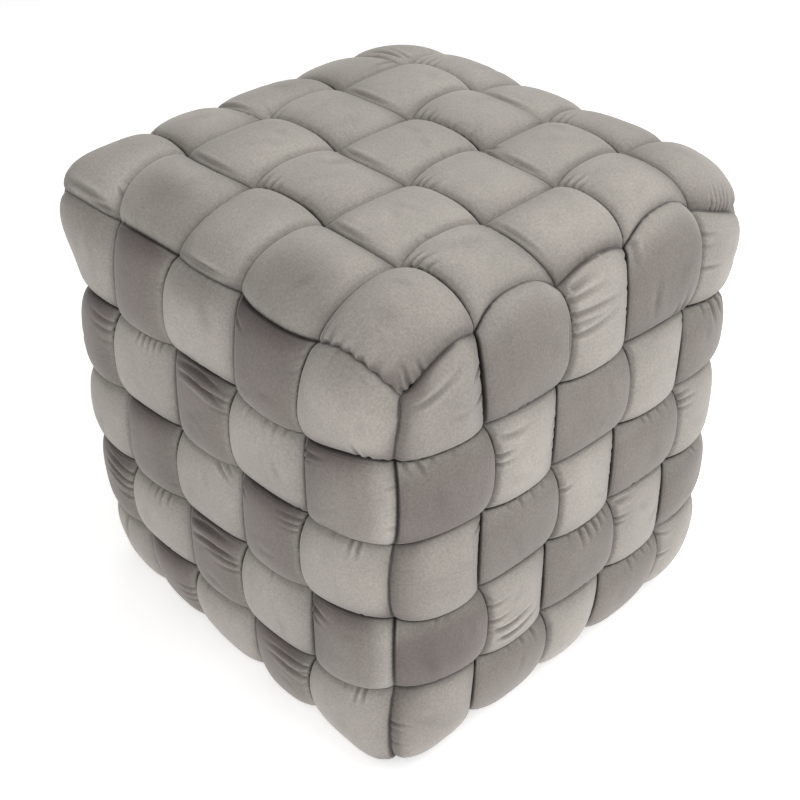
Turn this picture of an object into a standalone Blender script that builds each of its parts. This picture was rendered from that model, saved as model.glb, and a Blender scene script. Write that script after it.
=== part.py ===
# Cube pouf stool: fifteen padded strips in one plain weave round a rounded cube, on a flat base panel.
# Metres, +Z up. The origin is on the floor under the middle of the base panel.
# Strips "a" run along Y over the top, strips "b" run along X over the top, and the bands lie level.

import math

import bmesh
import bpy
from mathutils import Vector

# ---- driving dimensions -------------------------------------------------------------------------
PITCH = 0.078                    # one square of the weave
CELLS = 5                        # squares along each edge of a face
REACH = 2.665 * PITCH            # middle of a side face, from the upright axis
RISE = 2.88 * PITCH              # middle of the top, above the cube's centre
DROP = 2.60 * PITCH              # underside, below the cube's centre
CLEAR = 0.0003                   # gap between neighbouring pieces
PANEL_HEIGHT = 0.007             # base panel, standing on the floor
PANEL_SIDE = 0.330
PANEL_CORNER = 0.020
PANEL_SOFTENING = 0.0015         # rounding along the panel's upper and lower edges

# how the cube's edges are rounded off, as shares of the half sizes
SIDE_EDGE = 0.10                 # upright edges drawn in
TOP_LEAN = 0.03                  # sides leaning in towards the top and bottom edges
TOP_EDGE = 0.116                 # top edges drawn down
UNDER_EDGE = 0.03                # bottom edges drawn up
EVENING = 0.04                   # widens the middle squares, so that all are one pitch wide along the cloth
ROUNDING_POWER = 6               # high: the rounding stays near the edges

# the kinds of section along a strip: its half width, and the heights of its crown, its rim and its
# underside above the weave's middle surface
UNDER_TOP = -CLEAR / 2
UNDER_THICKNESS = 0.006
STATION = {
    "crown":   {"half": 0.490 * PITCH, "top": 0.0170, "rim": 0.0075, "floor": CLEAR / 2},
    "flank":   {"half": 0.480 * PITCH, "top": 0.0140, "rim": 0.0064, "floor": CLEAR / 2},
    "turn":    {"half": 0.455 * PITCH, "top": 0.0056, "rim": 0.0012, "floor": -0.0030},
    "beneath": {"half": 0.430 * PITCH, "top": UNDER_TOP, "rim": UNDER_TOP - UNDER_THICKNESS / 2,
                "floor": UNDER_TOP - UNDER_THICKNESS},
}
FLANK_AT = 0.30                  # cells from the middle of a square that shows
BENEATH_AT = 0.36                # cells from the middle of a square that is crossed over
TUCK = 0.90                      # how far a strip runs on under the base, in cells
CORNER_TUCK = 0.0                # the same where a crossing strip would meet its neighbour under the corner

# the strip's cross-section: share of the half width, and share of the way from one height to another
SECTION = (
    {"across": -1.00, "from": "rim", "to": "top", "share": 0.0},
    {"across": -0.70, "from": "rim", "to": "top", "share": 0.8},
    {"across": 0.00, "from": "rim", "to": "top", "share": 1.0},
    {"across": 0.70, "from": "rim", "to": "top", "share": 0.8},
    {"across": 1.00, "from": "rim", "to": "top", "share": 0.0},
    {"across": 0.70, "from": "floor", "to": "floor", "share": 0.0},
    {"across": -0.70, "from": "floor", "to": "floor", "share": 0.0},
)

FINISH = {
    "velvet": {"colour": (0.33, 0.30, 0.275), "roughness": 0.85},
    "base_cloth": {"colour": (0.09, 0.085, 0.08), "roughness": 0.95},
}

CELL_STEP = 2 / CELLS            # one square, on a cube that reaches from -1 to 1
NORMAL_STEP = 0.02               # spacing of the points that give the surface's direction
END_PLACE = 1 - TUCK * CELL_STEP  # where the tucked ends stop; there they lie on the base panel
CENTRE_HEIGHT = PANEL_HEIGHT + CLEAR / 2 + DROP * (1 - UNDER_EDGE * END_PLACE ** ROUNDING_POWER)


# ---- the rounded cube ---------------------------------------------------------------------------
def near_edge(u):
    return abs(u) ** ROUNDING_POWER


def rounded(point):
    """Place a point of the cube (-1 to 1 each way) on the rounded middle surface of the weave."""
    x, y, z = point
    lean = 1 - TOP_LEAN * near_edge(z)
    width = REACH * lean
    wx = width * x * (1 - SIDE_EDGE * near_edge(y)) * (1 + EVENING * (1 - near_edge(x)))
    wy = width * y * (1 - SIDE_EDGE * near_edge(x)) * (1 + EVENING * (1 - near_edge(y)))
    if z > 0:
        edge = (1 - TOP_EDGE * near_edge(x)) * (1 - TOP_EDGE * near_edge(y))
        wz = RISE * z * edge
    else:
        edge = (1 - UNDER_EDGE * near_edge(x)) * (1 - UNDER_EDGE * near_edge(y))
        wz = DROP * z * edge
    return Vector((wx, wy, wz + CENTRE_HEIGHT))


def fold(t):
    """Fold a length laid over the top (0 is its middle) down the sides: (level place, height)."""
    side = math.copysign(1, t)
    reach = abs(t)
    if reach <= 1:
        return t, 1.0
    if reach <= 3:
        return side, 2 - reach
    return side * (4 - reach), -1.0


def around(t):
    """Walk level round the four sides, 2 to a side, starting at the corner of -X and -Y."""
    side, along = divmod(t % 8, 2)
    corner = along - 1
    return ((corner, -1), (1, corner), (-corner, 1), (-1, -corner))[int(side)]


def lane_place(lane, across):
    """Middle of a lane (0 to 4), shifted across by a share of one square."""
    return (lane - (CELLS - 1) / 2 + across) * CELL_STEP


def on_strip_a(lane, along, across):
    y, z = fold((along - 1.5 * CELLS) * CELL_STEP)
    return lane_place(lane, across), y, z


def on_strip_b(lane, along, across):
    x, z = fold((along - 1.5 * CELLS) * CELL_STEP)
    return x, lane_place(lane, -across), z


def on_band(lane, along, across):
    x, y = around(along * CELL_STEP)
    return x, y, -lane_place(lane, across)


def outward(route, lane, along, across):
    """Direction out of the cube, from two short steps on the rounded surface."""
    step = NORMAL_STEP / CELL_STEP
    forward = rounded(route(lane, along + step, across)) - rounded(route(lane, along - step, across))
    sideways = rounded(route(lane, along, across + step)) - rounded(route(lane, along, across - step))
    return sideways.cross(forward).normalized()


# ---- strips -------------------------------------------------------------------------------------
def stations(count, first_over, closed, tuck):
    """Places along a strip, in cells, with the kind of section that stands there."""
    row = []
    for cell in range(count):
        middle = cell + 0.5
        if cell % 2 == first_over:
            row += [(middle - FLANK_AT, "flank"), (middle, "crown"), (middle + FLANK_AT, "flank")]
        else:
            row += [(middle - BENEATH_AT, "beneath"), (middle + BENEATH_AT, "beneath")]
    row += [(edge, "turn") for edge in range(0, count + 1 - closed, CELLS)]
    if tuck > 0:
        row += [(-tuck, "beneath"), (count + tuck, "beneath")]
    return sorted(row)


def section(route, lane, along, kind):
    size = STATION[kind]
    ring = []
    for corner in SECTION:
        across = corner["across"] * size["half"] / PITCH
        low = size[corner["from"]]
        height = low + (size[corner["to"]] - low) * corner["share"]
        place = rounded(route(lane, along, across))
        ring.append(place + outward(route, lane, along, across) * height)
    return ring


def strip(name, route, lane, count, first_over, closed, tuck, finish, home):
    """Loft one padded strip through its sections: an open run with flat ends, or a closed loop."""
    mesh = bmesh.new()
    rings = []
    for along, kind in stations(count, first_over, closed, tuck):
        rings.append([mesh.verts.new(corner) for corner in section(route, lane, along, kind)])
    pairs = list(zip(rings, rings[1:]))
    if closed:
        pairs.append((rings[-1], rings[0]))
    else:
        mesh.faces.new(rings[0])
        mesh.faces.new(reversed(rings[-1]))
    for here, there in pairs:
        for i in range(len(SECTION)):
            j = (i + 1) % len(SECTION)
            mesh.faces.new((here[j], here[i], there[i], there[j]))
    bmesh.ops.recalc_face_normals(mesh, faces=mesh.faces)
    bmesh.ops.triangulate(mesh, faces=mesh.faces)
    return keep(mesh, name, finish, home)


def keep(mesh, name, finish, home):
    data = bpy.data.meshes.new(name)
    mesh.to_mesh(data)
    mesh.free()
    data.shade_smooth()
    data.materials.append(finish)
    piece = bpy.data.objects.new(name, data)
    home.objects.link(piece)
    return piece


# ---- base panel ---------------------------------------------------------------------------------
def base_panel(finish, home):
    mesh = bmesh.new()
    bmesh.ops.create_cube(mesh, size=1)
    bmesh.ops.scale(mesh, vec=(PANEL_SIDE, PANEL_SIDE, PANEL_HEIGHT), verts=mesh.verts)
    upright = [e for e in mesh.edges if abs(e.verts[0].co.z - e.verts[1].co.z) > PANEL_HEIGHT / 2]
    bmesh.ops.bevel(mesh, geom=upright, offset=PANEL_CORNER, segments=4, affect="EDGES", profile=0.5)
    panel = keep(mesh, "base_panel", finish, home)
    panel.location.z = PANEL_HEIGHT / 2
    softening = panel.modifiers.new("softened edges", "BEVEL")
    softening.width = PANEL_SOFTENING
    softening.segments = 1
    softening.limit_method = "ANGLE"
    softening.angle_limit = math.radians(60)
    return panel


# ---- finishes -----------------------------------------------------------------------------------
def make_finish(name):
    look = FINISH[name]
    finish = bpy.data.materials.new(name)
    finish.use_nodes = True
    shader = finish.node_tree.nodes["Principled BSDF"]
    shader.inputs["Base Color"].default_value = (*look["colour"], 1)
    shader.inputs["Roughness"].default_value = look["roughness"]
    shader.inputs["Metallic"].default_value = 0
    finish.diffuse_color = (*look["colour"], 1)
    return finish


# ---- the pouf -----------------------------------------------------------------------------------
def build():
    for old in list(bpy.data.objects):
        bpy.data.objects.remove(old, do_unlink=True)
    home = bpy.data.collections.new("cube_pouf_stool")
    bpy.context.scene.collection.children.link(home)
    velvet = make_finish("velvet")
    open_run = 3 * CELLS
    full_turn = 4 * CELLS
    for lane in range(CELLS):
        number = lane + 1
        at_corner = lane in (0, CELLS - 1)
        tuck_b = CORNER_TUCK if at_corner else TUCK
        strip(f"strip_a_{number}", on_strip_a, lane, open_run, lane % 2, False, TUCK, velvet, home)
        strip(f"strip_b_{number}", on_strip_b, lane, open_run, (lane + 1) % 2, False, tuck_b, velvet, home)
        strip(f"band_{number}", on_band, lane, full_turn, (lane + 1) % 2, True, 0, velvet, home)
    base_panel(make_finish("base_cloth"), home)


build()
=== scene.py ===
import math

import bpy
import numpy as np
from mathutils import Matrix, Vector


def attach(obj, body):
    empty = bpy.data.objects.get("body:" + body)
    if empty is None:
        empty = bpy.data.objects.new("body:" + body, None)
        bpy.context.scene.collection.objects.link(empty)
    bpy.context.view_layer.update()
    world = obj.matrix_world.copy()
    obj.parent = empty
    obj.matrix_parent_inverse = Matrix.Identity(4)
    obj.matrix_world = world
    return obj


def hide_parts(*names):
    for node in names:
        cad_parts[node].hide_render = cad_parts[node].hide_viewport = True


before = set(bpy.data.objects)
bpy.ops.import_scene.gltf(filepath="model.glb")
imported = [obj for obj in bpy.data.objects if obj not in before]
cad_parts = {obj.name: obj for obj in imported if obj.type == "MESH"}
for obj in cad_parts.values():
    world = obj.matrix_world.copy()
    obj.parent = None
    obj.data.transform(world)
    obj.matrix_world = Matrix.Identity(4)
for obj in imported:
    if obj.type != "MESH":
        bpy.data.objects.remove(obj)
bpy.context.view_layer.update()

# Cube pouf stool: fifteen padded velvet strips in a plain weave round a rounded cube, on a flat base panel.
# Metres, +Z up. Strips "a" run over the top along Y, strips "b" along X, and the bands lie level.
# The camera looks at the upright edge of +X and -Y: the picture's left side is -Y and its right side is +X.

cube = {
    "pitch": 0.078,          # one square of the weave
    "cells": 5,              # squares along each edge of a side
    "reach": 2.665,          # half width, in squares
    "rise": 2.88,            # top above the cube's centre, in squares
    "drop": 2.60,            # underside below the centre, in squares
    "sideEdge": 0.10,        # upright edges drawn in
    "topLean": 0.03,         # sides leaning in at the top and the bottom
    "topEdge": 0.116,        # top edges drawn down
    "underEdge": 0.03,       # bottom edges drawn up
    "evening": 0.04,         # keeps the squares equal along the cloth
    "power": 6,              # keeps the rounding near the edges
    "panelTop": 0.00715,     # where the tucked ends lie
    "tuck": 0.90,            # how far the strips run on under the base, in squares
    "softness": 0.07,        # how far the cube's edges are blurred, in squares
    "turnSoftness": 0.5,     # share of that by which the outward direction is blurred
    "underPull": 0.06,       # bottom edges drawn in between the corners
    "underPullPower": 7,
    "cornerBlend": 0.12,     # how gently an overhanging edge turns from one side to the next
    "lowest": 0.0004,        # nothing of the velvet reaches lower
}
pitch = cube["pitch"]
cells = cube["cells"]
cellStep = 2 / cells
millimetres = 1000 * pitch       # in one square
endPlace = 1 - cube["tuck"] * cellStep
centreHeight = cube["panelTop"] + cube["drop"] * pitch * (1 - cube["underEdge"] * endPlace ** cube["power"])

pillow = {
    "halfMiddle": 0.564,     # half width of a square that shows, at its middle, in squares
    "halfJunction": 0.492,   # the same where four squares meet
    "halfUnder": 0.455,      # half width where the strip passes under another
    "outlinePower": 2.8,     # how square the bulge of the long edges is
    "crown": 0.0094,         # height of the puff over its rim
    "rimMiddle": 0.0078,     # height of the rim over the weave, at the middle of a long edge
    "rimJunction": 0.0010,   # the same where four squares meet
    "dropPower": 2.5,        # how near to that place the level drops
    "dropReach": 1.1,
    "underTop": -0.0012,     # top of the strip where it passes under
    "underFloor": -0.0062,
    "floor": 0.0003,         # underside of a square that shows
    "endSink": 0.0012,       # how far an end dips below its neighbour's edge
    "endSinkFrom": 0.86,     # where that begins
    "tuckFrom": 0.22,        # where the flat tuck under the base begins, in squares
    "tuckTop": -0.00024,
    "alongPower": 2.6,       # how full the puff is from end to end, and how it rolls down there
    "alongRoll": 0.62,
    "acrossPower": 3.0,      # the same from one long edge to the other
    "acrossRoll": 0.50,
    "rimRadius": 0.0009,     # folded edge of the velvet
    "rimTurn": 60,           # how far round it goes, in degrees up and down
    "rimDark": 1.6,          # how far the painted shade line reaches on to it, in millimetres
    "floorReach": 0.7,       # share of the width that the flat underside takes
    "edgeBulge": 0.12,       # share of the bulge that is left along the cube's edges
    "seamPower": 2.6,        # how square a seam's shift over a top edge is
    "endGap": 0.012,         # between the puff's end and its neighbour's edge, in half squares
    "bottomReach": 1.16,     # how far a puff rolls on under the stool, in half squares
    "unevenCrown": 0.09,     # share by which the crowns differ
    "unevenPeak": 0.14,      # how far a crown wanders from the middle
}

# places where the cover is pulled out of the even shape, by place and spread on a cube that reaches from
# -1 to 1; the pull is in millimetres
pullColumns = ("at", "spread", "by")
pulls = (
    ((0, 0, 1), (.5, .5, .3), (5.5, 5.5, 0)),
    ((.6, -1, 1), (.16, .2, .2), (9, 0, -2)),
    ((1, -.6, 1), (.2, .16, .2), (0, -10, 4)),
    ((1, .1, 1), (.2, .35, .2), (0, 0, 7)),
    ((1, .6, 1), (.2, .16, .2), (0, 8, 6)),
    ((-1, -1, 1), (.14, .14, .14), (-14, -14, 16)),
    ((-1, -1, .72), (.2, .2, .12), (4, 4, 0)),
    ((-1, .3, 1), (.2, .5, .2), (0, 0, -8)),
    ((1, 1, 1), (.14, .14, .14), (9, 8, 2)),
    ((1, -1, 1), (.14, .14, .14), (12, -6, 0)),
    ((-1, 1, 1), (.2, .2, .2), (-4, 4, -6)),
    ((0, 1, 1), (.6, .2, .2), (0, 0, -11)),
    ((1, -1, .6), (.25, .25, .2), (0, 0, 12)),
    ((.6, -1, .6), (.2, .3, .2), (-2, 0, -8)),
    ((0, -1, 0), (.8, .3, .7), (-3, 0, -6)),
    ((-1, -1, 0), (.4, .4, .6), (0, 0, -7)),
    ((1, 0, 0), (.3, .8, .7), (0, 0, 3)),
    ((1, -1, -1), (.12, .12, .12), (12, -12, 0)),
    ((-1, -1, -1), (.5, .35, .4), (6, 6, 4)),
    ((-.3, -1, -1), (.35, .3, .2), (0, 2, 4)),
)

grid = {
    "along": 64,             # rows of a square that shows, and of one on the hidden sides
    "alongBehind": 26,
    "across": 64,
    "rim": 3,
    "floor": 2,
    "tuck": 4,
    "closerAlong": 0.6,      # how much closer the rows stand at the ends and the long edges
    "closerAcross": 0.35,
    "carrier": 0.02,         # spacing on the middle surface, and its reach to each side, in squares
    "carrierSide": 0.8,
}


def nearEdge(u):
    return np.abs(u) ** cube["power"]


def named(columns, table):
    return [dict(zip(columns, values)) for values in table]


def smooth(low, high, value):
    t = np.clip((value - low) / (high - low), 0, 1)
    return t * t * (3 - 2 * t)


def eased(share, x, y):
    return (1 - share * nearEdge(x)) * (1 - share * nearEdge(y))


def unit(vectors):
    return vectors / np.maximum(np.linalg.norm(vectors, axis=-1, keepdims=True), 1e-12)


def outward(points, closed, closedAcross=False):
    # directions out of a grid of points, from the neighbours along both of its axes
    steps = []
    for axis, wraps in ((0, closed), (1, closedAcross)):
        if wraps:
            steps.append(np.roll(points, -1, axis=axis) - np.roll(points, 1, axis=axis))
        else:
            steps.append(np.gradient(points, axis=axis))
    return np.cross(steps[1], steps[0])


def roundedCube(x, y, z):
    # a point of the plain cube, -1 to 1 each way, on the weave's rounded middle surface
    width = cube["reach"] * pitch * (1 - cube["topLean"] * nearEdge(z))
    wx, wy = (width * a * (1 - cube["sideEdge"] * nearEdge(b)) * (1 + cube["evening"] * (1 - nearEdge(a)))
              for a, b in ((x, y), (y, x)))
    over = cube["rise"] * pitch * z * eased(cube["topEdge"], x, y)
    below = cube["drop"] * pitch * z * eased(cube["underEdge"], x, y)
    low = cube["underPull"] * np.clip(-z, 0, 1) ** cube["underPullPower"] * (1 - nearEdge(x * y))
    points = np.stack([wx * (1 - low), wy * (1 - low), np.where(z > 0, over, below) + centreHeight], axis=-1)
    for pull in named(pullColumns, pulls):
        far = sum(((c - a) / w) ** 2 for c, a, w in zip((x, y, z), pull["at"], pull["spread"]))
        points = points + np.exp(-0.5 * far)[..., None] * np.array(pull["by"]) / 1000
    return points


def lanePlace(lane, across):
    return (lane - (cells - 1) / 2 + across) * cellStep


def overTheTop(lane, along, across):
    # a strip that goes up one side, over the top and down the other: lane place, level place, height
    t = (along - 1.5 * cells) * cellStep
    far = np.abs(t)
    level = np.where(far <= 1, t, np.where(far <= 3, np.sign(t), np.sign(t) * (4 - far)))
    height = np.where(far <= 1, 1.0, np.where(far <= 3, 2 - far, -1.0))
    place = lanePlace(lane, across)
    extra = np.maximum(np.abs(place) - 1, 0)
    blend = cube["cornerBlend"]
    onTop = 1 - smooth(1 - blend, 1 + blend, far)
    below = smooth(3 - blend, 3 + blend, far)
    level = level - np.sign(t) * extra * (1 - onTop) * (1 - below)
    height = height - extra * onTop + extra * below
    return np.clip(place, -1, 1), level, height


def onStripA(lane, along, across):
    x, y, z = overTheTop(lane, along, across)
    return roundedCube(x, y, z)


def onStripB(lane, along, across):
    y, x, z = overTheTop(lane, along, -across)
    return roundedCube(x, y, z)


def onBand(lane, along, across):
    # level, round the four sides, starting at the edge of -X and -Y
    t = np.mod(along * cellStep, 8)
    side = np.minimum(np.floor(t / 2), 3).astype(int)
    corner = t - 2 * side - 1
    outX = np.array((0, 1, 0, -1))[side]
    outY = np.array((-1, 0, 1, 0))[side]
    x = outX - corner * outY
    y = outY + corner * outX
    z = -lanePlace(lane, across)
    extra = np.maximum(np.abs(z) - 1, 0)
    own = 0.5 + 0.5 * smooth(0, cube["cornerBlend"], 1 - np.abs(corner))
    inY = np.where(np.mod(side, 2) == 0, own, 1 - own)
    x = x - np.sign(x) * extra * (1 - inY)
    y = y - np.sign(y) * extra * inY
    return roundedCube(x, y, np.clip(z, -1, 1))


def blurred(field, sigma, closed):
    # a soft blur along both axes of a regular grid of points
    reach = int(math.ceil(3 * sigma))
    weights = np.exp(-0.5 * (np.arange(-reach, reach + 1) / sigma) ** 2)
    weights = weights / weights.sum()
    for axis, mode in ((0, "wrap" if closed else "edge"), (1, "edge")):
        pad = [(reach, reach) if a == axis else (0, 0) for a in range(3)]
        wide = np.pad(field, pad, mode=mode)
        count = field.shape[axis]
        field = sum(w * np.take(wide, range(k, k + count), axis=axis) for k, w in enumerate(weights))
    return field


class Carrier:
    # the softened middle surface under one strip, and its outward direction
    def __init__(self, route, lane, start, stop, closed):
        step = grid["carrier"]
        self.start, self.closed, self.step = start, closed, step
        self.along = np.arange(start, stop - (step / 2 if closed else -step / 2), step)
        self.across = np.arange(-grid["carrierSide"], grid["carrierSide"] + step / 2, step)
        s, t = np.meshgrid(self.along, self.across, indexing="ij")
        self.points = blurred(route(lane, s, t), cube["softness"] / step, closed)
        softness = cube["turnSoftness"] * cube["softness"] / step
        self.normals = unit(blurred(outward(self.points, closed), softness, closed))

    def read(self, field, s, t):
        a = (s - self.start) / self.step
        b = np.clip((t - self.across[0]) / self.step, 0, len(self.across) - 1.001)
        rows = len(self.along)
        a = np.mod(a, rows) if self.closed else np.clip(a, 0, rows - 1.001)
        i = np.floor(a).astype(int)
        j = np.floor(b).astype(int)
        fa = (a - i)[..., None]
        fb = (b - j)[..., None]
        i2 = (i + 1) % rows
        return ((1 - fa) * (1 - fb) * field[i, j] + fa * (1 - fb) * field[i2, j]
                + (1 - fa) * fb * field[i, j + 1] + fa * fb * field[i2, j + 1])

    def place(self, s, t, height):
        return self.read(self.points, s, t) + unit(self.read(self.normals, s, t)) * height[..., None]


# seams over the top edges: how far the lower square bulges up over the edge, in millimetres; -Y and +Y
# count from the +X end, +X and -X count from the -Y end
seams = {
    "-Y": (5, -3, 0, 1, 1),
    "+X": (3.5, 10, 5, 9, -4),
    "+Y": (3, 2, 4, 2, 3),
    "-X": (3, 4, 2, 4, 3),
}
# where a seam moves by more than so many millimetres, the lower puff swells there and laps over the edge
balloon = {"atLeast": 8, "height": 0.004, "reach": 0.35, "lap": 2.6}
lip = {"piece": "strip_b_1", "cell": 9, "wave": 0.0007, "waves": 7.0}    # the nearest square's wavy edge


def seamShifts(kind, lane, cell):
    # for the start, the stop, the low and the high edge of a square, in squares; outwards is positive
    shift = [0.0, 0.0, 0.0, 0.0]
    last = cells - 1
    if kind == "band":
        side, k = divmod(cell, cells)
        if lane == 0:
            shift[2] = seams[("-Y", "+X", "+Y", "-X")[side]][k if side in (1, 2) else last - k]
    else:
        sides = ("-Y", "+Y") if kind == "a" else ("-X", "+X")
        index = last - lane if kind == "a" else lane
        for square, end, side, sign in ((last, 1, 0, 1), (cells, 0, 0, -1), (2 * cells - 1, 1, 1, -1),
                                        (2 * cells, 0, 1, 1)):
            if cell == square:
                shift[end] = sign * seams[sides[side]][index]
        besideEdge = {("a", 0): (2, "-X"), ("a", last): (3, "+X"), ("b", 0): (3, "-Y"),
                      ("b", last): (2, "+Y")}
        if cells <= cell < 2 * cells and (kind, lane) in besideEdge:
            edge, side = besideEdge[kind, lane]
            shift[edge] = -seams[side][cell - cells if kind == "a" else 2 * cells - 1 - cell]
    return [s / millimetres for s in shift]


# creases listed by piece and by square: from (along, across) to (toAlong, toAcross), with -1 and 1
# at the square's sides; depth and width in millimetres; deepest is a share of the way; bow bends it
creaseColumns = ("along", "across", "toAlong", "toAcross", "depth", "width", "deepest", "bow")
usualCrease = {"width": 1.4, "deepest": 0, "bow": 0}    # where a row stops before them
creases = {}
creases["strip_a_1"] = {
    0: ((1, .2, -.2, .1, 1, 2, .1), (1, -.3, .2, -.35, .8, 1.6)),
    2: ((1, -.5, .8, -.5, .8, 1.2), (1, -.2, .85, -.2, .6, 1.2)),
    6: ((-1, -.3, -.7, -.3, .8), (1, .7, .75, .7, .8, 1.3)),
    8: ((.9, .8, -.2, .85, .8, 1.4, .2), (1, .5, .6, .45, .9)),
}
creases["strip_a_2"] = {
    1: ((1, .05, .65, .05, 1.3, 1.2), (1, .22, .6, .22, 1.5, 1.2), (1, .45, .65, .45, 1.3, 1.2),
        (1, -.2, .75, -.2, .8, 1.2)),
    3: ((1, 0, .7, 0, 1.3, 1.1), (1, .17, .65, .17, 1.4, 1.1), (1, .34, .65, .34, 1.4, 1.1),
        (1, .5, .7, .5, 1.2, 1.1), (1, .66, .75, .66, 1, 1.1)),
    5: ((-1, -.7, -.75, -.65, .6, 1.2),),
    7: ((-1, -.8, -.65, -.7, 1), (1, -.75, .8, -.7, .8, 1.2)),
    9: ((-1, -.75, -.55, -.65, 1.2), (-1, -.55, -.5, -.45, 1.3), (-1, -.35, -.6, -.3, .8)),
}
creases["strip_a_3"] = {
    2: ((1, .3, .6, .85, 1, 1.5, .3), (1, .55, .75, .9, .8, 1.4, .3)),
    4: ((-1, .05, -.65, -.1, 1.3, 1.5), (-1, -.2, -.75, -.25, .8, 1.3)),
    6: ((-1, -.8, -.6, -.75, 1.3), (-1, -.6, -.65, -.5, 1.2), (-1, -.4, -.7, -.35, .8),
        (1, -.8, .8, -.8, 1, 1.2), (1, -.65, .85, -.6, .8, 1.2)),
    8: ((-1, -.8, -.6, -.75, 1.3), (-1, -.6, -.65, -.5, 1.2), (-1, -.45, -.7, -.4, .8, 1.3)),
}
creases["strip_a_4"] = {
    1: ((1, 0, .75, .05, .8),),
    3: ((1, .1, .75, .1, .7), (1, .35, .75, .35, .9), (1, .6, .8, .6, .7, 1.3), (1, -.4, .6, -.45, .5, 1.5),
        (-1, .85, -.8, .8, 1.2)),
    5: ((1, .6, .8, .6, .6, 1.2),),
    7: ((-1, -.85, -.65, -.75, 1.3), (-1, -.7, -.6, -.6, 1.2), (-1, -.5, -.75, -.4, .7),
        (1, -.75, .75, -.7, 1.3, 1.3), (1, -.5, .8, -.5, 1.1, 1.3), (1, -.3, .85, -.3, .8, 1.2)),
    9: ((-1, -.8, -.55, -.7, 1.3), (-1, -.6, -.55, -.5, 1.2)),
}
creases["strip_a_5"] = {
    0: ((1, .3, .5, .25, 1.4), (1, .45, .55, .45, 1.4, 1.3), (1, 0, .75, 0, .5, 1.3)),
    2: ((1, .25, .65, .22, 1.3, 1.3), (1, .4, .6, .4, 1.5, 1.3), (1, -.15, .8, -.15, .5, 1.3),
        (-1, .45, -.8, .45, 1.2, 1.3)),
    4: ((-1, .45, -.45, .3, 1.3, 1.5), (-1, .6, -.8, .6, 1.4), (-1, .85, -.85, .8, 1, 1.3)),
    6: ((-1, -.85, -.55, -.7, 1.5), (-1, -.68, -.5, -.5, 1.5), (-1, -.45, -.65, -.3, 1),
        (1, -.7, .85, -.7, .9, 1.2), (1, -.55, .85, -.55, .8, 1.2)),
    8: ((-1, -.85, -.6, -.75, 1.4), (-1, -.65, -.5, -.55, 1.4), (-1, -.5, -.7, -.4, .9, 1.3)),
}
creases["strip_b_1"] = {
    5: ((-.9, .86, .95, .84, 1.4, 1.5, .6), (-.2, .94, 1, .93, 1.2, 1.2, .7), (1, .6, .75, .5, 1)),
    7: ((-.95, .92, .95, .91, 1.1, 1.2, .5),),
    9: ((1, .75, .6, .6, 1.3), (1, .45, .75, .4, 1.2, 1.3), (1, .9, .75, .8, 1, 1.3)),
    11: ((-1, .85, -.55, .75, 1.2), (-1, .62, -.5, .5, 1.4, 1.5), (-1, .35, -.75, .3, 1, 1.6),
        (-1, -.1, -.7, -.1, .6, 1.8)),
    13: ((-1, .2, -.75, .2, 1, 1.5),),
}
creases["strip_b_2"] = {
    6: ((-.9, .93, .9, .93, 1, 1.2, .4),),
    8: ((-.9, .93, .5, .93, .8, 1.2, .4),),
    10: ((1, .55, .75, .5, 1.1, 1.3), (1, .3, .7, .25, 1.2, 1.3), (1, .1, .75, .1, 1.1, 1.3),
        (1, -.1, .8, -.1, 1, 1.3), (1, -.35, .75, -.35, 1.1, 1.3), (-.6, -.85, .6, -.88, .5, 1.2, .5)),
    12: ((-1, .45, -.75, .4, .9), (-1, .15, -.6, .1, 1.2, 1.5), (-1, -.2, -.65, -.2, .9, 1.8),
        (-1, -.5, -.7, -.5, .6, 1.8)),
    14: ((-1, .2, -.7, .2, .8), (-1, -.15, -.6, -.2, 1.1, 1.6), (-1, -.5, -.55, -.55, 1.2, 1.6)),
}
creases["strip_b_3"] = {
    5: ((-.9, .93, .9, .92, 1, 1.2, .5),),
    7: ((-.9, .93, .9, .93, .9, 1.2, .3),),
    9: ((-.9, .93, .9, .93, .7, 1.2, .4),),
    13: ((-1, .45, -.7, .4, 1), (-1, .15, -.4, .05, 1.8, 1.6), (-1, -.05, -.45, -.15, 1.8, 1.5),
        (-1, -.28, -.5, -.35, 1.6, 1.5), (-1, -.5, -.55, -.5, 1.4, 1.5), (-1, -.72, -.6, -.7, 1),
        (1, .1, .8, .2, 1.2, 1.6), (1, -.2, .75, -.1, 1.2, 1.6)),
}
creases["strip_b_4"] = {
    6: ((-.9, .93, .9, .93, .9, 1.2, .4),),
    8: ((-.95, .85, -.6, .8, 1.2, 1.2), (-.6, .93, .9, .93, .9, 1.2, .5)),
    10: ((-.4, .3, .7, .35, .5, 3, .5, .05), (.2, -.45, 1, -.5, 1, 2.4, 1), (.4, -.2, 1, -.3, .8, 2, 1),
        (-.9, .85, -.4, .8, .8, 2)),
    12: ((-1, .3, -.7, .25, 1, 1.5), (-1, .1, -.65, .05, 1.2, 1.5), (-1, -.2, -.7, -.25, 1, 1.5),
        (-1, -.5, -.7, -.5, .9, 1.5), (1, .3, .75, .4, 1.4, 1.6), (1, -.1, .8, 0, 1.2)),
    14: ((-1, .2, -.6, .15, 1.3, 1.6), (-1, 0, -.7, -.05, .9), (-1, -.3, -.7, -.35, .9),
        (-1, -.6, -.65, -.6, 1.1, 1.5)),
}
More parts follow.
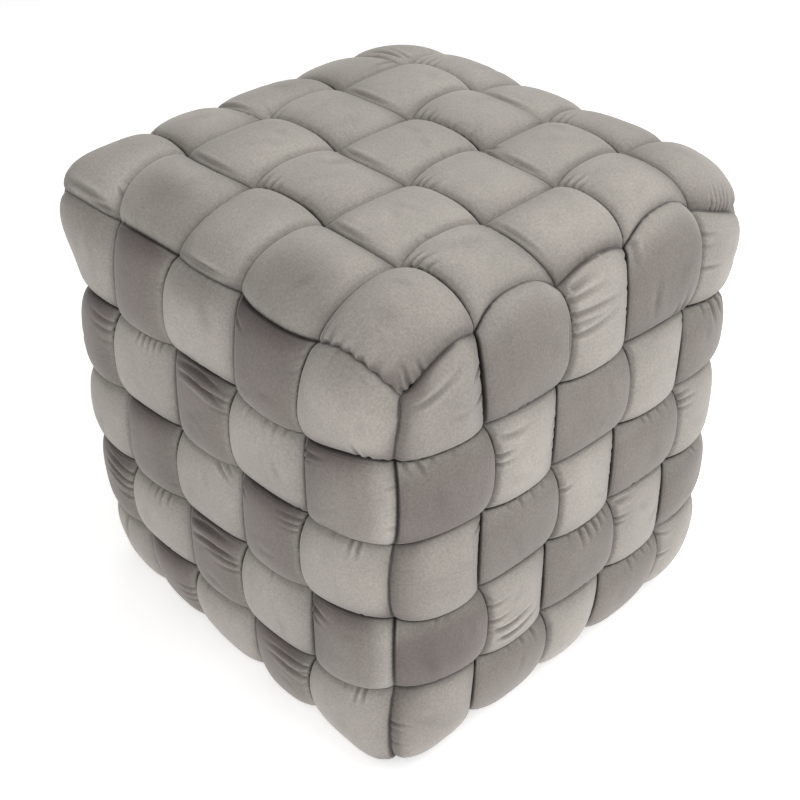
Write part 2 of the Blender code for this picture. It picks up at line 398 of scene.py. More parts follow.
creases["strip_b_5"] = {
    5: ((-.2, .85, .9, .8, 1.4, 1.4, .7), (.2, .7, .95, .7, 1, 1.3, .8)),
    7: ((-.9, .93, .9, .93, .9, 1.2, .4),),
    9: ((1, .45, .7, .45, 1.1, 1.3), (1, .3, .6, .3, 1.3, 1.2), (1, .15, .65, .15, 1.2, 1.2),
        (1, 0, .6, 0, 1.3, 1.2), (1, -.15, .7, -.15, 1, 1.2), (.45, -.6, 1, -.55, 2.4, 1.6, .7)),
    11: ((-1, .5, -.6, .45, 1.2, 1.6), (-1, .2, -.3, .05, 1.6, 1.8), (-1, -.1, -.4, -.25, 1.6, 1.8),
        (-1, -.4, -.5, -.5, 1.3, 1.6)),
    13: ((-1, .1, -.7, 0, .8, 1.5),),
}
creases["band_1"] = {
    1: ((1, -.4, .7, -.42, .6, 1.3), (1, -.3, .72, -.3, .5, 1.3)),
    3: ((-.95, -.75, -.4, -.6, .6, 1.6, .1), (1, -.75, .7, -.7, .5, 1.5)),
    5: ((1, -.5, .5, -.2, 1.2, 1.6, 0, .1), (1, 0, .45, .1, 1, 1.8, 0, -.1),
        (-.95, -.75, .5, -.8, .8, 1.6, .3, .05)),
    7: ((-.9, -.85, -.1, -.85, .9, 1.8, .1), (-1, -.7, .3, -.68, 1.1, 1.7), (-1, -.43, .85, -.38, 1.2, 1.7),
        (-1, -.25, 0, -.25, .6, 1.6), (-1, -.03, .6, -.2, 1.1, 1.8), (1, -.85, .75, -.8, .9),
        (1, -.4, .75, -.35, .8, 1.3), (1, 0, .75, 0, .8, 1.3)),
    9: ((-1, -.55, -.5, -.6, .8, 1.5), (-1, -.3, -.55, -.35, .7, 1.5), (-1, .15, -.1, .1, 1, 1.6)),
}
creases["band_2"] = {
    0: ((1, -.65, .1, -.8, 1.3, 1.6), (1, -.45, .2, -.6, 1.1, 1.5), (1, -.2, .5, -.3, .6, 1.3)),
    2: ((-1, -.8, .95, -.75, 1.6, 1.8, .6, -.06), (-1, -.62, 1, -.45, 2, 1.8, .7, -.08),
        (-.4, -.68, 1, -.6, 1.4, 1.5, .8, -.04), (.3, -.5, 1, -.35, .8, 1.3, 1)),
    4: ((-1, -.75, -.1, -.85, 1.2, 1.6, .1), (-1, -.6, -.3, -.75, .8), (-.6, .75, .4, .9, 1.2, 1.3, .5, .05),
        (1, -.5, .7, -.5, .6)),
    6: ((-1, -.3, -.45, -.4, 1.4), (-1, -.12, -.4, -.2, 1), (-.95, -.7, .1, -.75, .8, 2.2, .2, .05),
        (1, -.5, .6, -.3, 1), (1, -.25, .65, -.1, 1), (1, 0, .6, .1, 1), (1, .25, .7, .3, .8)),
    8: ((1, -.85, .75, -.8, .9),),
}
creases["band_3"] = {
    1: ((-.85, -.7, -.8, .2, .8, 1.6, .3),),
    3: ((1, -.8, .2, -.85, 1.4), (1, -.65, .3, -.72, 1.1), (1, -.5, .4, -.58, .7),
        (-1, -.8, -.5, -.6, .9, 1.8)),
    5: ((1, -.85, .5, -.7, .9, 1.6),),
    7: ((-1, -.35, -.6, -.5, 1, 1.5), (1, -.6, .75, -.5, .9, 1.3), (1, -.3, .8, -.2, .8, 1.3),
        (1, 0, .8, .05, .8, 1.3)),
    9: ((-1, -.6, -.35, -.65, 1.2, 1.6), (-1, -.4, -.5, -.45, 1, 1.5), (-1, -.75, -.5, -.85, .9, 1.5)),
}
creases["band_4"] = {
    0: ((1, -.6, -.3, -.8, 1.6, 1.6, .1, .05), (1, -.35, -.3, -.6, 1.8, 1.6, .1, .05),
        (1, -.15, -.2, -.4, 1.6, 1.5, .1, .05), (1, .1, .3, -.1, 1)),
    2: ((-1, -.75, .95, -.8, 1.6, 2.2, .4, -.05), (-1, -.45, 1, -.5, 1.8, 1.8, .7, -.06),
        (-.3, -.4, 1, -.35, 1.4, 1.5, .8, -.04), (.1, -.2, 1, -.2, .8, 1.3, 1)),
    4: ((-1, -.75, -.1, -.6, 1, 2, .1), (-1, -.55, -.3, -.45, .7, 2)),
    6: ((-1, -.05, -.3, -.25, 1.2, 1.5, 0, .05), (-1, .2, .5, 0, 2, 2, .25, .05),
        (-.9, .5, .8, .25, 1.6, 2, .3, .05), (-1, -.45, -.3, -.55, .8)),
    8: ((-1, -.45, -.5, -.5, 1.2), (-1, -.3, -.55, -.38, .9), (-.95, -.85, -.3, -.85, .9, 2, .2)),
}
creases["band_5"] = {
    1: ((1, -.3, .3, -.4, 1), (1, -.1, .35, -.2, .9), (1, .1, .45, 0, .7, 1.3)),
    3: ((1, -.65, -.6, -.7, 1.6, 1.6, .1, .05), (1, -.35, -.5, -.55, 1.4, 1.8, .1, .05),
        (1, -.5, .4, -.55, 1, 1.3)),
    9: ((-1, -.15, -.45, -.25, 1.2, 1.6), (-1, -.8, -.5, -.7, 1)),
}
# further creases, drawn by chance; lengths are in half squares and the rest in millimetres
gathers = {
    "number": (2, 6),        # short pleats at each end of a square
    "strength": (0.15, 1),   # differs from end to end; the power makes strong ones rarer
    "power": 1.3,
    "across": 0.85,
    "bow": 0.1,
    "length": (0.15, 0.5),
    "lean": 0.18,
    "width": (1.3, 2.4),
    "depth": (0.3, 1.5),
    "besideDrawn": 0.6,      # share of the depth on squares that have listed creases
}
folds = {
    "number": (1, 4),        # long soft folds across a square
    "middle": 0.5,
    "bow": 0.1,
    "reach": (0.5, 1.1),
    "lean": 0.5,
    "width": (3.0, 6.0),
    "depth": (0.15, 0.5),
}
# how a crease is cut: shares of the widths and depths above, the least width in millimetres, and the two
# shoulders beside it by height, place and width
creaseSize = {"width": 1.1, "least": 1.5, "depth": 2.1, "shoulder": (0.35, 1.8, 0.9)}


def crease(q, v, start, end, bow, width, depth, deepest):
    # a trough between two low shoulders, from start to end, deepest at a share of the way along
    halfSquare = millimetres / 2
    run = (end[0] - start[0]) * halfSquare, (end[1] - start[1]) * halfSquare
    length = math.hypot(*run)
    x = (q - start[0]) * halfSquare
    y = (v - start[1]) * halfSquare
    share = (x * run[0] + y * run[1]) / length ** 2
    off = (y * run[0] - x * run[1]) / length - bow * length * 4 * share * (1 - share)
    far = np.abs(share - deepest) / np.where(share > deepest, 1 - deepest + 1e-6, deepest + 1e-6)
    runOut = np.exp(-(share * length / width) ** 2)
    fading = np.where((share < 0) & (deepest == 0), runOut, 1 - smooth(0, 1, far))
    height, place, spread = creaseSize["shoulder"]
    side = np.exp(-((np.abs(off) - place * width) / (spread * width)) ** 2)
    return fading * depth * (height * side - np.exp(-(off / width) ** 2)) / 1000


def placedCreases(rows, q, v):
    height = 0 * q
    for row in named(creaseColumns, rows):
        row = {**usualCrease, **row}
        width = max(row["width"] * creaseSize["width"], creaseSize["least"])
        height = height + crease(q, v, (row["along"], row["across"]), (row["toAlong"], row["toAcross"]),
                                 row["bow"], width, row["depth"] * creaseSize["depth"], row["deepest"])
    return height


def drawnCreases(draw, q, v, share):
    height = 0 * q
    for end in (-1, 1):
        strength = share * draw.uniform(*gathers["strength"]) ** gathers["power"]
        for k in range(draw.integers(*gathers["number"])):
            at = draw.uniform(-gathers["across"], gathers["across"])
            length = draw.uniform(*gathers["length"])
            to = (end * (1 - length), at + draw.uniform(-1, 1) * gathers["lean"])
            bow = draw.uniform(-gathers["bow"], gathers["bow"])
            width = draw.uniform(*gathers["width"])
            depth = strength * draw.uniform(*gathers["depth"])
            height = height + crease(q, v, (end, at), to, bow, width, depth, 0)
    for k in range(draw.integers(*folds["number"])):
        middle = draw.uniform(-folds["middle"], folds["middle"], 2)
        reach = draw.uniform(*folds["reach"]) / 2
        lean = draw.uniform(-1, 1) * folds["lean"]
        start = (middle[0] - reach, middle[1] - reach * lean)
        end = (middle[0] + reach, middle[1] + reach * lean)
        bow = draw.uniform(-folds["bow"], folds["bow"])
        width = draw.uniform(*folds["width"])
        height = height + crease(q, v, start, end, bow, width, draw.uniform(*folds["depth"]), 0.5)
    return height


# patches of painted shade and painted light on the pile: place and spread in half squares, and what
# they add to the tone
shadePatchColumns = ("piece", "cell", "along", "across", "reachAlong", "reachAcross", "tone")
shadePatches = (
    ("strip_a_1", 4, .85, 0, .4, 1.2, -.45),
    ("strip_a_2", 5, -.25, 0, .42, .9, -.6),
    ("strip_a_3", 4, .85, 0, .4, 1.2, -.45),
    ("strip_a_4", 5, -.28, 0, .42, .9, -.55),
    ("strip_a_5", 4, .85, -.1, .45, .8, -.45),
    ("strip_b_1", 9, .15, .4, .8, .8, -.4),
    ("strip_b_1", 11, .2, .2, 1.5, 1.5, -.2),
    ("strip_b_1", 13, 0, .2, 1.5, 1.5, -.35),
    ("band_1", 5, 0, .1, 1.2, 1.2, -.35),
    ("band_2", 4, 0, .2, .8, .8, .3),
    ("band_3", 5, 0, .1, 1.2, 1.2, -.35),
    ("band_4", 4, 0, .2, .8, .8, .25),
    ("band_5", 5, 0, .1, 1.2, 1.2, -.4),
)

# the next two tables have a number for the start, the stop, the low and the high edge of a square, by kind
# and by side of the cube in the order that the strip takes them; sides that aren't listed are unchanged
unchanged = (0, 0, 0, 0)
# painted shade and sheen added to the tone where a square rolls off
paintedLightAtSides = {
    ("a", 0): (-.3, .25, -.15, 0),
    ("a", 1): (.1, -.3, 0, -.1),
    ("b", 1): (0, .15, 0, 0),
    ("b", 2): (.15, -.3, -.1, .1),
    ("band", 0): (-.3, .25, -.25, 0),
    ("band", 1): (.35, -.45, 0, -.4),
}
# by how many millimetres the painted shade line where strips meet is narrower
paleLines = {
    ("a", 0): (-1.0, .6, 0, -.4),
    ("a", 1): (0, 0, .8, .4),
    ("b", 1): (.9, 1.8, 0, -.1),
    ("b", 2): (-.2, -.8, 0, -1.2),
    ("band", 0): (-1.5, 0, -.5, 0),
    ("band", 1): (.6, -1.8, 0, -.9),
}
toneReach = 0.28


# painted shade and light on a square: at its rolled-off sides and in the patches above
def paintedLightOnSquare(name, cell, atSides, q, v):
    tone = 0 * q
    for amount, beside in zip(atSides, (1 + q, 1 - q, 1 + v, 1 - v)):
        tone = tone + amount * np.exp(-(beside / toneReach) ** 2)
    for row in named(shadePatchColumns, shadePatches):
        if (row["piece"], row["cell"]) == (name, cell):
            far = ((q - row["along"]) / row["reachAlong"]) ** 2
            far = far + ((v - row["across"]) / row["reachAcross"]) ** 2
            tone = tone + row["tone"] * np.exp(-far)
    return tone


# how far the long edges bulge out between the junctions: the low edge (across -1) and the high one (+1)
bulges = {
    "a": ((0.8, 1.1), (0.8, 1.1), (1.0, 1.1)),       # on -Y, on the top and on +Y
    "b": ((1.0, 1.5), (0.3, 1.5), (1.0, 1.5)),       # on -X, on the top and on +X
    "band": ((1.0, -0.2), (1.0, 0.0), (1.0, 0.0), (1.0, 0.0)),
}

# seams that lie off their even place: how far the long edge of one square bulges over the end of the next
nudgeColumns = ("edgeOf", "edgeCell", "edge", "endOf", "endCell", "end", "by")
nudges = (
    ("strip_b_2", 10, "high", "band_1", 5, "stop", -3),
    ("band_2", 4, "low", "strip_a_5", 4, "start", -3.5),
    ("band_2", 4, "high", "strip_a_5", 2, "stop", -3),
    ("strip_a_5", 2, "high", "band_3", 5, "start", -3.5),
    ("strip_a_5", 0, "high", "band_5", 5, "start", -3.5),
    ("strip_b_1", 11, "high", "band_2", 4, "stop", -3),
    ("strip_a_4", 5, "high", "strip_b_1", 9, "start", -8),
    ("strip_b_2", 8, "high", "strip_a_4", 5, "stop", -3),
    ("strip_b_3", 9, "high", "strip_a_5", 6, "stop", -4),
    ("strip_b_1", 9, "low", "strip_a_5", 6, "start", 4),
)
sidesOfSquare = ("start", "stop", "low", "high")


def nudged(name, cell, shifts):
    for row in named(nudgeColumns, nudges):
        for piece, square, place, sign in ((row["edgeOf"], row["edgeCell"], row["edge"], 1),
                                           (row["endOf"], row["endCell"], row["end"], -1)):
            if (piece, square) == (name, cell):
                shifts[sidesOfSquare.index(place)] += sign * row["by"] / millimetres
    return shifts


def halfWidth(u, share):
    bulge = share * (1 - np.clip(np.abs(u), 0, 1) ** pillow["outlinePower"])
    return pillow["halfJunction"] + (pillow["halfMiddle"] - pillow["halfJunction"]) * bulge


def endBulges(kind, cell):
    # the bulges of the neighbours' edges that the start and the stop of a square pass under
    side = cell // cells
    if kind == "band":
        other, theirSide, first = (("a", 0, 1), ("b", 2, 0), ("a", 2, 0), ("b", 0, 1))[side]
    elif side == 1:
        other, theirSide, first = ("b", 1, 0) if kind == "a" else ("a", 1, 1)
    else:
        theirSide = {"a": (0, None, 2), "b": (3, None, 1)}[kind][side]
        other, first = "band", 0 if side == 0 else 1
    return bulges[other][theirSide][first], bulges[other][theirSide][1 - first]


def taper(u):
    return 1 - np.clip(np.abs(u), 0, 1) ** pillow["seamPower"]


def baseHeight(u, v):
    # the level that a puff stands on: high along its four sides, low where four squares meet
    drop = (np.clip(np.abs(u), 0, pillow["dropReach"]) * np.abs(v)) ** pillow["dropPower"]
    return pillow["rimMiddle"] + (pillow["rimJunction"] - pillow["rimMiddle"]) * drop


def evenSteps(count, pull):
    # -1 to 1, closer together towards the ends
    w = np.linspace(-1, 1, count)
    return pull * np.sin(math.pi * w / 2) + (1 - pull) * w


def puff(q, v, peak):
    a = np.clip(np.abs(q - peak[0] * (1 - q * q)), 0, 1)
    b = np.clip(np.abs(v - peak[1] * (1 - v * v)), 0, 1)
    along = np.clip(1 - a ** pillow["alongPower"], 0, 1) ** pillow["alongRoll"]
    return along * np.clip(1 - b ** pillow["acrossPower"], 0, 1) ** pillow["acrossRoll"]


def swelling(q, v, shifts):
    # where a seam lies far over the edge the lower puff swells there and the upper one's rim is pressed down
    height = 0 * q
    for shift, beside, along in zip(shifts, (q + 1, 1 - q, v + 1, 1 - v), (v, v, q, q)):
        if abs(shift) * millimetres > balloon["atLeast"]:
            near = np.exp(-(beside / balloon["reach"]) ** 2)
            height = height + math.copysign(balloon["height"], shift) * near * taper(along)
    return height


def squareOutline(plan, name, cell, ends, outer, shifts, q, v):
    # how far a square reaches along its strip, in half squares, and its half width, in squares
    reach = []
    for end, shift, share in zip(ends, shifts, endBulges(plan["kind"], cell)):
        share = share * (pillow["edgeBulge"] if end == "edge" else 1)
        inside = 1 - 2 * (halfWidth(v, share) - 0.5) - pillow["endGap"]
        if end == "edge" and shift * millimetres > balloon["atLeast"]:
            shift = shift + balloon["lap"] / millimetres
        inside = inside + 2 * shift * taper(v)
        reach.append(pillow["bottomReach"] + 0 * v if end == "open" else inside)
    u = np.where(q > 0, q * reach[1], q * reach[0])
    own = [b * (pillow["edgeBulge"] if o else 1) for b, o in zip(bulges[plan["kind"]][cell // cells], outer)]
    half = halfWidth(u, np.where(v > 0, own[1], own[0])) + np.where(v > 0, shifts[3], shifts[2]) * taper(u)
    if name == lip["piece"] and cell == lip["cell"]:
        wave = lip["wave"] / pitch * np.sin(lip["waves"] * math.pi * q + q * q)
        half = half + np.where(v > 0, wave, 0)
    return u, half


def squareRows(plan, lane, cell, ends, outer):
    # a square that shows: places, heights and local coordinates of its rows; ends and outer say what its
    # two ends and its two long edges meet: "plain", the cube's "edge" or, under the stool, "open"
    number = 1000 * plan["seed"] + 100 * lane + cell
    draw = np.random.default_rng(number)
    name = plan["name"] + str(lane + 1)
    rowCount = grid["along"] if cell in plan["fine"] else grid["alongBehind"]
    q = evenSteps(rowCount, grid["closerAlong"])[:, None]
    v = evenSteps(grid["across"], grid["closerAcross"])[None, :]
    shifts = nudged(name, cell, seamShifts(plan["kind"], lane, cell))
    u, half = squareOutline(plan, name, cell, ends, outer, shifts, q, v)
    t = v * half
    q = q + 0 * v
    v = v + 0 * q
    peak = draw.uniform(-1, 1, 2) * pillow["unevenPeak"]
    crown = pillow["crown"] * (1 + draw.uniform(-1, 1) * pillow["unevenCrown"])
    height = baseHeight(u, v) + pillow["rimRadius"] + crown * puff(q, v, peak) + swelling(q, v, shifts)
    height = height - pillow["endSink"] * smooth(pillow["endSinkFrom"], 1.0, np.abs(q))
    placed = creases.get(name, {}).get(cell, ())
    folded = placedCreases(placed, q, v) + drawnCreases(draw, q, v, gathers["besideDrawn"] if placed else 1)
    side = (plan["kind"], cell // cells)
    paler = paleLines.get(side, unchanged)
    toEnd = (1 - np.abs(q)) * np.abs(u / np.where(q == 0, 1, q)) * millimetres / 2
    toEdge = (1 - np.abs(v)) * half * millimetres
    return {"s": cell + 0.5 + u / 2, "t": t, "height": height + folded, "over": np.ones((len(q), 1)),
            "along": u * millimetres / 2, "across": t * millimetres, "number": 0 * q + number,
            "end": toEnd + np.where(q > 0, paler[1], paler[0]),
            "edge": toEdge + np.where(v > 0, paler[3], paler[2]), "fold": 1000 * folded,
            "paintedLight": paintedLightOnSquare(name, cell, paintedLightAtSides.get(side, unchanged), q, v)}


def hiddenRows(places, top):
    s = np.array(places)[:, None]
    v = evenSteps(grid["across"], grid["closerAcross"])[None, :]
    ones = np.ones_like(s * v)
    # hidden rows lie in the painted shade where strips meet
    rows = {key: 0 * ones for key in ("along", "number", "end", "edge", "fold", "paintedLight")}
    return {**rows, "s": s * ones, "t": v * pillow["halfUnder"] * ones, "height": top * ones, "over": 0 * s,
            "across": v * ones}


# rows of a strip where it passes under another, in squares
underPlaces = (-0.05, 0.09, 0.5, 0.91, 1.05)


def endKind(place, count, closed):
    if not closed and place in (0, count):
        return "open"
    return "edge" if place % cells == 0 else "plain"


def stripRows(plan, lane, firstOver, tuck, outer):
    count, closed = plan["count"], plan["closed"]
    blocks = []
    for cell in range(count):
        if cell % 2 == firstOver:
            ends = (endKind(cell, count, closed), endKind(cell + 1, count, closed))
            blocks.append(squareRows(plan, lane, cell, ends, outer))
        else:
            blocks.append(hiddenRows([cell + p for p in underPlaces], pillow["underTop"]))
    if tuck > 0:
        places = np.linspace(pillow["tuckFrom"], tuck, grid["tuck"])
        blocks.insert(0, hiddenRows(-places[::-1], pillow["tuckTop"]))
        blocks.append(hiddenRows(count + places, pillow["tuckTop"]))
    return {key: np.concatenate([b[key] for b in blocks]) for key in blocks[0]}


def closeRing(rows):
    # adds the folded edges and the underside to the top of each row
    radius = pillow["rimRadius"]
    over = rows["over"]
    angles = np.radians(np.linspace(pillow["rimTurn"], -pillow["rimTurn"], grid["rim"]))[None, :]
    rim = []
    for column, sign in ((-1, 1), (0, -1)):
        base = rows["height"][:, [column]] - radius
        part = {key: rows[key][:, [column]] + 0 * angles for key in rows if key != "over"}
        part["t"] = part["t"] + sign * radius / pitch * np.cos(angles)
        part["height"] = base + radius * np.sin(angles)
        # the painted shade line where strips meet reaches on to the rim
        part["end"] = np.minimum(part["end"], pillow["rimDark"] * over * (1 + np.sin(angles)))
        rim.append(part)
    base = rows["height"][:, :1] - radius
    floor = np.where(over > 0, np.minimum(pillow["floor"], base - 2 * radius), pillow["underFloor"])
    v = np.linspace(pillow["floorReach"], -pillow["floorReach"], grid["floor"])[None, :]
    under = {key: rows[key][:, [0]] + 0 * v for key in rows if key != "over"}
    under["s"] = rows["s"][:, [0]] * (1 - v) / 2 + rows["s"][:, [-1]] * (1 + v) / 2
    under["t"] = rows["t"][:, [-1]] * v
    under["height"] = floor + 0 * v
    # the underside lies in the painted shade where strips meet
    under["end"] = 0 * under["t"]
    left = {key: value[:, ::-1] for key, value in rim[1].items()}
    return {key: np.concatenate([rows[key], rim[0][key], under[key], left[key]], axis=1) for key in under}


def ringFaces(rowCount, ringCount, closed):
    faces = []
    for i in range(rowCount if closed else rowCount - 1):
        here = i * ringCount
        there = ((i + 1) % rowCount) * ringCount
        for j in range(ringCount):
            k = (j + 1) % ringCount
            faces.append((here + j, there + j, there + k, here + k))
    if not closed:
        faces.append(tuple(range(ringCount)))
        faces.append(tuple((rowCount - 1) * ringCount + j for j in reversed(range(ringCount))))
    return faces


# painted sheen and shade of the nap: the pile lies along each strip, so its tone (0 taupe, 1 pale) is painted
# lighter or darker with the way the velvet leans, as light falls on it: for the running strips by the angle
# from straight up, in degrees, towards their far end; for bands by the share of the level direction that
# points to +X
toneByLean = {
    "a": ((-180, .2), (-125, .35), (-104, .8), (-88, .93), (-72, .9), (-50, .8), (-32, .95), (-14, 1.0),
          (8, 1.05), (24, .8), (44, .3), (70, .8), (88, .93), (104, .8), (125, .35), (180, .2)),
    "b": ((-180, .1), (-90, .15), (-60, .15), (-36, .4), (-16, .85), (6, 1.0), (22, 1.08), (40, .92),
          (58, .55), (75, .28), (100, .2), (125, .15), (180, .1)),
    "band": ((-1, .9), (-.75, .55), (-.5, -.08), (0, .04), (.4, .12), (.6, .3), (.8, .75), (.92, 1.0),
             (1, 1.05)),
}


def napSheenAndShade(kind, normals):
    x, y, z = normals[..., 0], normals[..., 1], normals[..., 2]
    if kind == "band":
        lean = x / np.maximum(np.hypot(x, y), 1e-6)
    else:
        lean = np.degrees(np.arctan2(y if kind == "a" else x, z))
    places, tones = zip(*toneByLean[kind])
    return np.interp(lean, places, tones)


# the kinds of strip; on its fine squares, which lie on the sides that show, the grid is closer
kinds = {
    "a": {"route": onStripA, "name": "strip_a_", "count": 3 * cells, "closed": False, "seed": 1,
          "fine": range(0, 2 * cells)},
    "b": {"route": onStripB, "name": "strip_b_", "count": 3 * cells, "closed": False, "seed": 2,
          "fine": range(cells, 3 * cells)},
    "band": {"route": onBand, "name": "band_", "count": 4 * cells, "closed": True, "seed": 3,
             "fine": range(0, 2 * cells)},
}


def shown(name, data):
    made = bpy.data.objects.new(name, data)
    bpy.context.scene.collection.objects.link(made)
    return made


def addPoints(mesh, name, values):
    kind, field = ("FLOAT", "value") if values.ndim == 2 else ("FLOAT_VECTOR", "vector")
    made = mesh.attributes.new(name, kind, "POINT")
    made.data.foreach_set(field, values.reshape(-1).astype(np.float32))


def buildStrip(kind, lane, finish):
    plan = {**kinds[kind], "kind": kind}
    count, closed = plan["count"], plan["closed"]
    firstOver = lane % 2 if kind == "a" else (lane + 1) % 2
    first, last = lane == 0, lane == cells - 1
    tuck = 0 if closed or kind == "b" and (first or last) else cube["tuck"]
    start = 0 if closed else -1
    carrier = Carrier(plan["route"], lane, start, count - start, closed)
    outer = (last, first) if kind == "b" else (first, last)
    ring = closeRing(stripRows(plan, lane, firstOver, tuck, outer))
    points = carrier.place(ring["s"], ring["t"], ring["height"])
    points[..., 2] = np.maximum(points[..., 2], cube["lowest"])
    rowCount, ringCount = ring["s"].shape
    name = plan["name"] + str(lane + 1)
    mesh = bpy.data.meshes.new(name + "_velvet")
    mesh.from_pydata(points.reshape(-1, 3).tolist(), [], ringFaces(rowCount, ringCount, closed))
    mesh.shade_smooth()
    # painted sheen and shade by the way the velvet leans, plus painted shade and light on each square
    addPoints(mesh, "napSheenAndShade", napSheenAndShade(kind, unit(outward(points, closed, True))) + ring["paintedLight"])
    for attribute, keys in (("local", ("along", "across", "number")), ("margin", ("end", "edge", "fold"))):
        addPoints(mesh, attribute, np.stack([ring[key] for key in keys], axis=-1))
    mesh.materials.append(finish)
    piece = shown(name + "_velvet", mesh)
    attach(piece, "root")
    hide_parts(name)


velvet = {
    "pale": (0.452, 0.419, 0.377),     # painted light: the velvet as it looks along the pile
    "taupe": (0.215, 0.187, 0.173),    # painted shade: the same velvet against the pile
    "roughness": 0.8,
    "specular": 0.15,
    "sheen": 0.4,
    "sheenRoughness": 0.45,
    "sheenTint": (1.0, 0.97, 0.94),
    "crevice": 0.02,                   # painted shade: brightness where two strips meet
    "creviceWidth": 2.2,               # millimetres
    "sideLineAway": 1.1,               # by how much that line is narrower along a long edge
    "ragged": 0.9,                     # how far the line wanders at an end, and its share along a long edge
    "raggedSide": 0.4,
    "endShade": 0.30,                  # painted shade, darker towards the ends and the long edges of a square
    "endShadeReach": 7.0,
    "edgeShade": 0.2,
    "edgeShadeReach": 4.5,
    "foldShade": 0.27,                 # painted shade in the trough of a fold and painted highlight on the ridge
    "foldDepth": 1.8,
    "smudgeSize": 12.0,                # brushed patches: larger numbers are smaller patches
    "smudge": 0.28,
    "speckleSize": 520.0,
    "speckle": 0.30,
    "grainBump": 0.00022,
    "pleatLong": 14,                   # fine pleats at the ends of a square, in millimetres
    "pleatSpacing": 3.4,
    "pleatLength": 4.0,
    "pleatBump": 0.0011,
    "rimLine": 1.2,                    # fold beside a long edge: nearest, how far it wanders, and its width
    "rimWander": 2.4,
    "rimLineWidth": 0.6,
    "rimWave": (22, 60),               # how slowly it wanders along and across
    "rimGaps": (0.42, 0.55),           # it shows where the wander is above these
    "rimBump": 0.00025,
    "squareSteps": (7.3, 3.7),         # steps in both noises from one square to the next
}


class Finish:
    # a material, or the studio's surroundings, with a few short ways to add and join its nodes
    def __init__(self, name, shelf=bpy.data.materials, shader="Principled BSDF"):
        self.block = shelf.new(name)
        self.block.use_nodes = True
        self.tree = self.block.node_tree
        self.shader = self.tree.nodes[shader]

    def feed(self, socket, value):
        # a socket takes a number, a colour or another node's output
        if isinstance(value, (int, float)):
            socket.default_value = value
        elif isinstance(value, tuple):
            socket.default_value = (*value, 1) if len(socket.default_value) == 4 else value
        else:
            self.tree.links.new(value, socket)

    def fixed(self, feeds):
        for place, value in feeds.items():
            self.feed(self.shader.inputs[place], value)

    def node(self, kind, feeds=None, **settings):
        made = self.tree.nodes.new("ShaderNode" + kind)
        for key, value in settings.items():
            setattr(made, key, value)
        for place, value in (feeds or {}).items():
            self.feed(made.inputs[place], value)
        return made

    def math(self, operation, *values):
        return self.node("Math", dict(enumerate(values)), operation=operation).outputs[0]

    def times(self, first, second):
        return self.math("MULTIPLY", first, second)

    def decay(self, value, reach):
        return self.math("EXPONENT", self.times(value, -1 / reach))

    def bell(self, value, middle, width):
        away = self.math("DIVIDE", self.math("SUBTRACT", value, middle), width)
        return self.decay(self.times(away, away), 1)

    def spread(self, value, amount):
        # a noise round 0.5 becomes a factor round 1
        return self.math("MULTIPLY_ADD", value, 2 * amount, 1 - amount)

    def ramp(self, value, low, high, fromLow=0.0, toHigh=1.0, kind="SMOOTHSTEP"):
        feeds = dict(enumerate((value, low, high, fromLow, toHigh)))
        return self.node("MapRange", feeds, interpolation_type=kind).outputs[0]

    def attribute(self, name, output="Fac"):
        return self.node("Attribute", attribute_name=name).outputs[output]

    def apart(self, vector):
        return tuple(self.node("SeparateXYZ", {0: vector}).outputs)

    def noise(self, scale, detail, roughness=0.5, vector=None):
        place = vector or self.node("TexCoord").outputs["Object"]
        feeds = {"Vector": place, "Scale": scale, "Detail": detail, "Roughness": roughness}
        return self.node("TexNoise", feeds).outputs["Fac"]

    def stretched(self, vector, by):
        return self.node("VectorMath", {0: vector, 1: by}, operation="MULTIPLY").outputs[0]

    def scaleColour(self, colour, factor):
        return self.node("VectorMath", {0: colour, "Scale": factor}, operation="SCALE").outputs[0]

    def mixColour(self, factor, first, second, clamped=True):
        feeds = {"Factor": factor, "A": first, "B": second}
        return self.node("Mix", feeds, data_type="RGBA", clamp_factor=clamped).outputs["Result"]

    def bump(self, height, distance, before=None):
        feeds = {"Height": height, "Distance": distance}
        if before is not None:
            feeds["Normal"] = before
        return self.node("Bump", feeds).outputs["Normal"]


